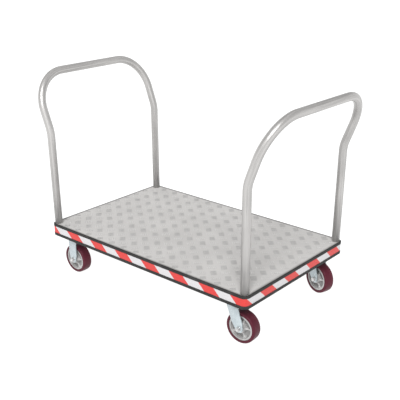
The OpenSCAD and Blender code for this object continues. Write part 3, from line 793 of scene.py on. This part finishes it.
def tube(name, places, axes, radius, around=40):
    """Circles about the middle line: place + r (cos t side + sin t across). A circle of almost no
    size closes each end."""
    t = np.arange(around) * 2 * math.pi / around
    places, axes = (np.concatenate([a[:1], a, a[-1:]]) for a in (places, axes))
    sizes = np.full(len(places), radius)
    sizes[[0, -1]] = CLOSED_END_R
    ring = np.cos(t)[None, :, None] * axes[:, None, 0] + np.sin(t)[None, :, None] * axes[:, None, 1]
    points = places[:, None] + sizes[:, None, None] * ring
    return grid_piece(
        name,
        points,
        wrap=(False, True),
        u=lengths_along(places),
        v=np.linspace(0, 2 * math.pi * radius, around + 1),
    )


quarter_bend, _ = drive((0, 0, 0), [(0.1, 90, SIDE)])
print("a quarter bend of 0.1 m from the origin ends at", quarter_bend[-1].round(3))

# %% The two handles
KINK_R, BAR_BEND_R = 0.150, 0.173
LEAN_RUN, LEAN_RISE = 44, 117
LEAN = math.degrees(math.atan2(LEAN_RUN, LEAN_RISE))
LEAN_STRAIGHT = 0.0816
KINK_RISE = 0.4745
kink_run = KINK_R * math.tan(math.radians(LEAN / 2))
post_length = plate_high.z + KINK_RISE - kink_run - handle_low.z
moves = [
    post_length,
    (KINK_R, LEAN, ACROSS),
    LEAN_STRAIGHT,
    (BAR_BEND_R, -90, SIDE),
    2 * (post_y - BAR_BEND_R),
    (BAR_BEND_R, -90, SIDE),
    LEAN_STRAIGHT,
    (KINK_R, LEAN, ACROSS),
    post_length,
]
places, axes = drive((post_x, -post_y, handle_low.z), moves)
for node, mirrored in (("handle_swivel_end", 1), ("handle_rigid_end", -1)):
    flip = np.array([mirrored, 1, 1])
    handle = tube(node + "_tube", places * flip, axes * flip, TUBE_R)
    install(handle, [node])
print("handle ends at", places[-1].round(4), "and tops out at", round(float(places[:, 2].max()), 4))

# %% [markdown]
# ## The wheels
# A wheel is two turned shapes. The tread is a profile spun about the axle. The core is cast, so
# it isn't quite turned: five ribs run from hub to rim across a deep recess. Its face is best
# thought of as a landscape, with a height for every radius and angle. The front and the back are
# the same landscape, and joining their edges closes the shell.
#
# Both are worked out about their own axle and then moved to it. The joints say where each axle
# is and how it points, so the swivel wheels come out at their true angles.

# %% Moving a shape onto an axle
def onto_axle(points, joint):
    """(x, y, z) becomes place + x forward + y axle + z up, with forward = axle x up."""
    axle = np.array(joint["axis"], float)
    up = np.array([0.0, 0.0, 1.0])
    basis = np.stack([np.cross(axle, up), axle, up])
    return np.array(joint["pos_m"], float) + points @ basis


def spun(profile, around):
    """Profile points (radius, y) spun about the y axis: (r cos t, y, r sin t)."""
    t = np.arange(around) * 2 * math.pi / around
    r, y = profile[None, :, 0], np.broadcast_to(profile[None, :, 1], (around, len(profile)))
    return np.stack([r * np.cos(t)[:, None], y, r * np.sin(t)[:, None]], -1)


WHEELS = ("rigid_right", "rigid_left", "swivel_right", "swivel_left")
WHEEL_R, HALF_W, CORE_R = 0.075, 0.025, 0.061
CROWN_HALF, CROWN_DROP = 0.010, 0.0012
AROUND = 160
tread_profile = soft_corners(
    [
        (CORE_R, -HALF_W),
        (WHEEL_R - CROWN_DROP, -HALF_W),
        (WHEEL_R, -CROWN_HALF),
        (WHEEL_R, CROWN_HALF),
        (WHEEL_R - CROWN_DROP, HALF_W),
        (CORE_R, HALF_W),
    ],
    [0.0008, 0.0062, 0.004, 0.004, 0.0062, 0.0008],
    8,
)
tread_points = spun(tread_profile, AROUND)
profile_metres = lengths_along(tread_profile, wrap=True)
for wheel in WHEELS:
    tread = grid_piece(
        wheel + "_tread_ring",
        onto_axle(tread_points, joints[wheel + "_roll"]),
        u=np.linspace(0, 2 * math.pi * WHEEL_R, AROUND + 1),
        v=profile_metres / profile_metres[-1],
    )
    install(tread, [wheel + "_tread"])
print("tread", len(tread.data.polygons), "faces, profile", round(float(profile_metres[-1]), 4), "m")

# %% The cast core as a landscape
BORE_R, HUB_R, RIM_R = 0.015, 0.022, 0.052
HUB_H, RIM_H, RIB_H, FLOOR_H = 0.028, 0.023, 0.017, 0.0045
RIBS, RIB_HALF, RIB_SOFT = 5, 0.0040, 0.0012
RIM_FLARE, HUB_FLARE, RIB_DIP = 0.0035, 0.003, 0.004
RIB_WAIST_R, HUB_FLARE_END_R = 0.040, 0.032
RIM_STEP, HUB_STEP, EDGE_CUT = 0.0022, 0.0018, 0.0009
FINE_STEP = 0.0007
CORE_AROUND = 250


def step(x, low, high):
    """0 below low, 1 above high, and 3s^2 - 2s^3 between, with s the share of the way."""
    s = np.clip((x - low) / (high - low), 0, 1)
    return s * s * (3 - 2 * s)


def core_height(r, t):
    """Half the core's thickness. Ribs fade out across their own width, and the hub and the rim
    each take over with a smooth step in radius. The second value is 1 on the ribs and halfway up
    the steps: polish there, with a painted highlight on the raised parts and painted shade in the
    pockets."""
    sector = (t * RIBS / (2 * math.pi) + 0.5) % 1 - 0.5
    aside = r * np.sin(abs(sector) * 2 * math.pi / RIBS)
    flare = RIM_FLARE * step(r, RIB_WAIST_R, RIM_R) + HUB_FLARE * step(r, HUB_FLARE_END_R, HUB_R)
    rib = 1 - step(aside, RIB_HALF + flare - RIB_SOFT, RIB_HALF + flare + RIB_SOFT)
    rim = step(r, RIM_R - RIM_STEP, RIM_R)
    hub = 1 - step(r, HUB_R, HUB_R + HUB_STEP)
    height = FLOOR_H + (RIB_H - RIB_DIP * step(r, HUB_R, RIB_WAIST_R) - FLOOR_H) * rib
    height = height + (RIM_H - height) * rim
    # 1 on ribs and step edges: polish, and where the finish paints a highlight; the pockets get painted shade.
    wear_and_highlight = np.maximum(rib, 4 * rim * (1 - rim)) * (1 - hub) + 4 * hub * (1 - hub)
    return height + (HUB_H - height) * hub, wear_and_highlight


radii = np.unique(
    np.concatenate(
        [
            [BORE_R, BORE_R + FINE_STEP, HUB_R - FINE_STEP],
            np.linspace(HUB_R, HUB_R + HUB_STEP, 6),
            np.linspace(HUB_R + HUB_STEP, RIM_R - RIM_STEP, 18),
            np.linspace(RIM_R - RIM_STEP, RIM_R, 6),
            [RIM_R + FINE_STEP, CORE_R - EDGE_CUT, CORE_R - 0.0002, CORE_R],
        ]
    )
)
turns = np.arange(CORE_AROUND) * 2 * math.pi / CORE_AROUND
r, t = np.meshgrid(radii, turns)
h, wear_and_highlight = core_height(r, t)
h = h - EDGE_CUT * step(r, CORE_R - EDGE_CUT, CORE_R)
face = np.stack([r * np.cos(t), h, r * np.sin(t)], -1)
back = (face * np.array([1, -1, 1]))[:, ::-1]
core_points = np.concatenate([face, back], 1)
core_uv = np.stack([np.concatenate([a, a[:, ::-1]], 1) for a in (wear_and_highlight, r)], -1).reshape(-1, 2)
i, j = grid_faces(CORE_AROUND, 2 * len(radii), True, True)
core_faces = (i % CORE_AROUND) * 2 * len(radii) + j % (2 * len(radii))
for wheel in WHEELS:
    placed = onto_axle(core_points.reshape(-1, 3), joints[wheel + "_roll"])
    core = make_mesh(wheel + "_core_casting", placed, core_faces, core_uv[core_faces])
    install(core, [wheel + "_wheel_core"])
print("core", len(core.data.polygons), "faces")

# %% [markdown]
# ## The studio
# The truck stands on a plain pale floor under a wide, soft sky, as in a catalogue. The
# floor is a light table: it glows nearly white and reflects little, so it stays white right
# under the deck. The sky meets it with a white band and is greyer overhead. One soft sun from
# the front rounds the tubes and tells the long side from the short one. The camera looks down
# a little, with a longish lens.

# %% Floor and light
scene = bpy.context.scene
FLOOR_SIZE, FLOOR_GLOW = 120.0, 0.97
SKY_STRENGTH, SKY_WHITE_TO, SKY_GREY_FROM = 1.0, 0.14, 0.45
SUN_STRENGTH, SUN_WIDTH, SUN_TILT, SUN_TURN = 3.0, 30, 45, 34
floor_mesh = bpy.data.meshes.new("studio_floor")
half = FLOOR_SIZE / 2
floor_corners = [(-half, -half, 0), (half, -half, 0), (half, half, 0), (-half, half, 0)]
floor_mesh.from_pydata(floor_corners, [], [(0, 1, 2, 3)])
floor = bpy.data.objects.new("studio_floor", floor_mesh)
scene.collection.objects.link(floor)


def pale_floor(start):
    spot = coordinates(start, "Object")
    return {
        "Base Color": blend(noise(spot, 2.0), grey(0.22), grey(0.24)),
        "Roughness": 0.9,
        "Specular IOR Level": 0.0,
        "Emission Color": blend(noise(spot, 0.5), grey(0.97), grey(1.0)),
        "Emission Strength": FLOOR_GLOW,
    }


floor_mesh.materials.append(finish("pale_floor", pale_floor))

world = bpy.data.worlds.new("soft_sky")
scene.world = world
world.use_nodes = True
sky = Shade(world.node_tree)
rise = sky.node("ShaderNodeSeparateXYZ", {}, {0: coordinates(sky, "Generated")}, "Z")
sky_colour = blend(between(rise, SKY_WHITE_TO, SKY_GREY_FROM), grey(1.0), grey(0.38))
background = world.node_tree.nodes["Background"]
sky.plug(background.inputs["Color"], sky_colour)
background.inputs["Strength"].default_value = SKY_STRENGTH

sun = bpy.data.objects.new("soft_sun", bpy.data.lights.new("soft_sun", "SUN"))
sun.data.energy = SUN_STRENGTH
sun.data.angle = math.radians(SUN_WIDTH)
sun.rotation_euler = (math.radians(SUN_TILT), 0, math.radians(SUN_TURN))
scene.collection.objects.link(sun)
scene.view_settings.view_transform = "Standard"
print("sky", SKY_STRENGTH, "sun", sun.data.energy)

# %% The camera
AZIMUTH, ELEVATION, ROLL = 40.82, 24.52, -0.14
DISTANCE, ASIDE, ABOVE = 3.68597, 0.036273, 0.144503
FOCAL_WIDTHS = 1.79035
SENSOR = 36.0
SHIFT_ASIDE, SHIFT_UP = -0.00125, 0.12625
a, e = math.radians(AZIMUTH), math.radians(ELEVATION)
back_way = np.array([math.sin(a) * math.cos(e), -math.cos(a) * math.cos(e), math.sin(e)])
right_way = np.array([math.cos(a), math.sin(a), 0.0])
up_way = np.cross(back_way, right_way)
roll = math.radians(ROLL)
right_way, up_way = (
    right_way * math.cos(roll) + up_way * math.sin(roll),
    up_way * math.cos(roll) - right_way * math.sin(roll),
)
camera = bpy.data.objects.new("camera", bpy.data.cameras.new("camera"))
scene.collection.objects.link(camera)
camera.data.sensor_width = SENSOR
camera.data.lens = FOCAL_WIDTHS * SENSOR
camera.data.shift_x, camera.data.shift_y = SHIFT_ASIDE, SHIFT_UP
camera.data.clip_end = 200.0
place = back_way * DISTANCE + right_way * ASIDE + up_way * ABOVE
camera.matrix_world = Matrix(
    [[right_way[k], up_way[k], back_way[k], place[k]] for k in range(3)] + [[0, 0, 0, 1]]
)
scene.camera = camera
print("lens", round(camera.data.lens, 2), "mm, camera at", place.round(3))
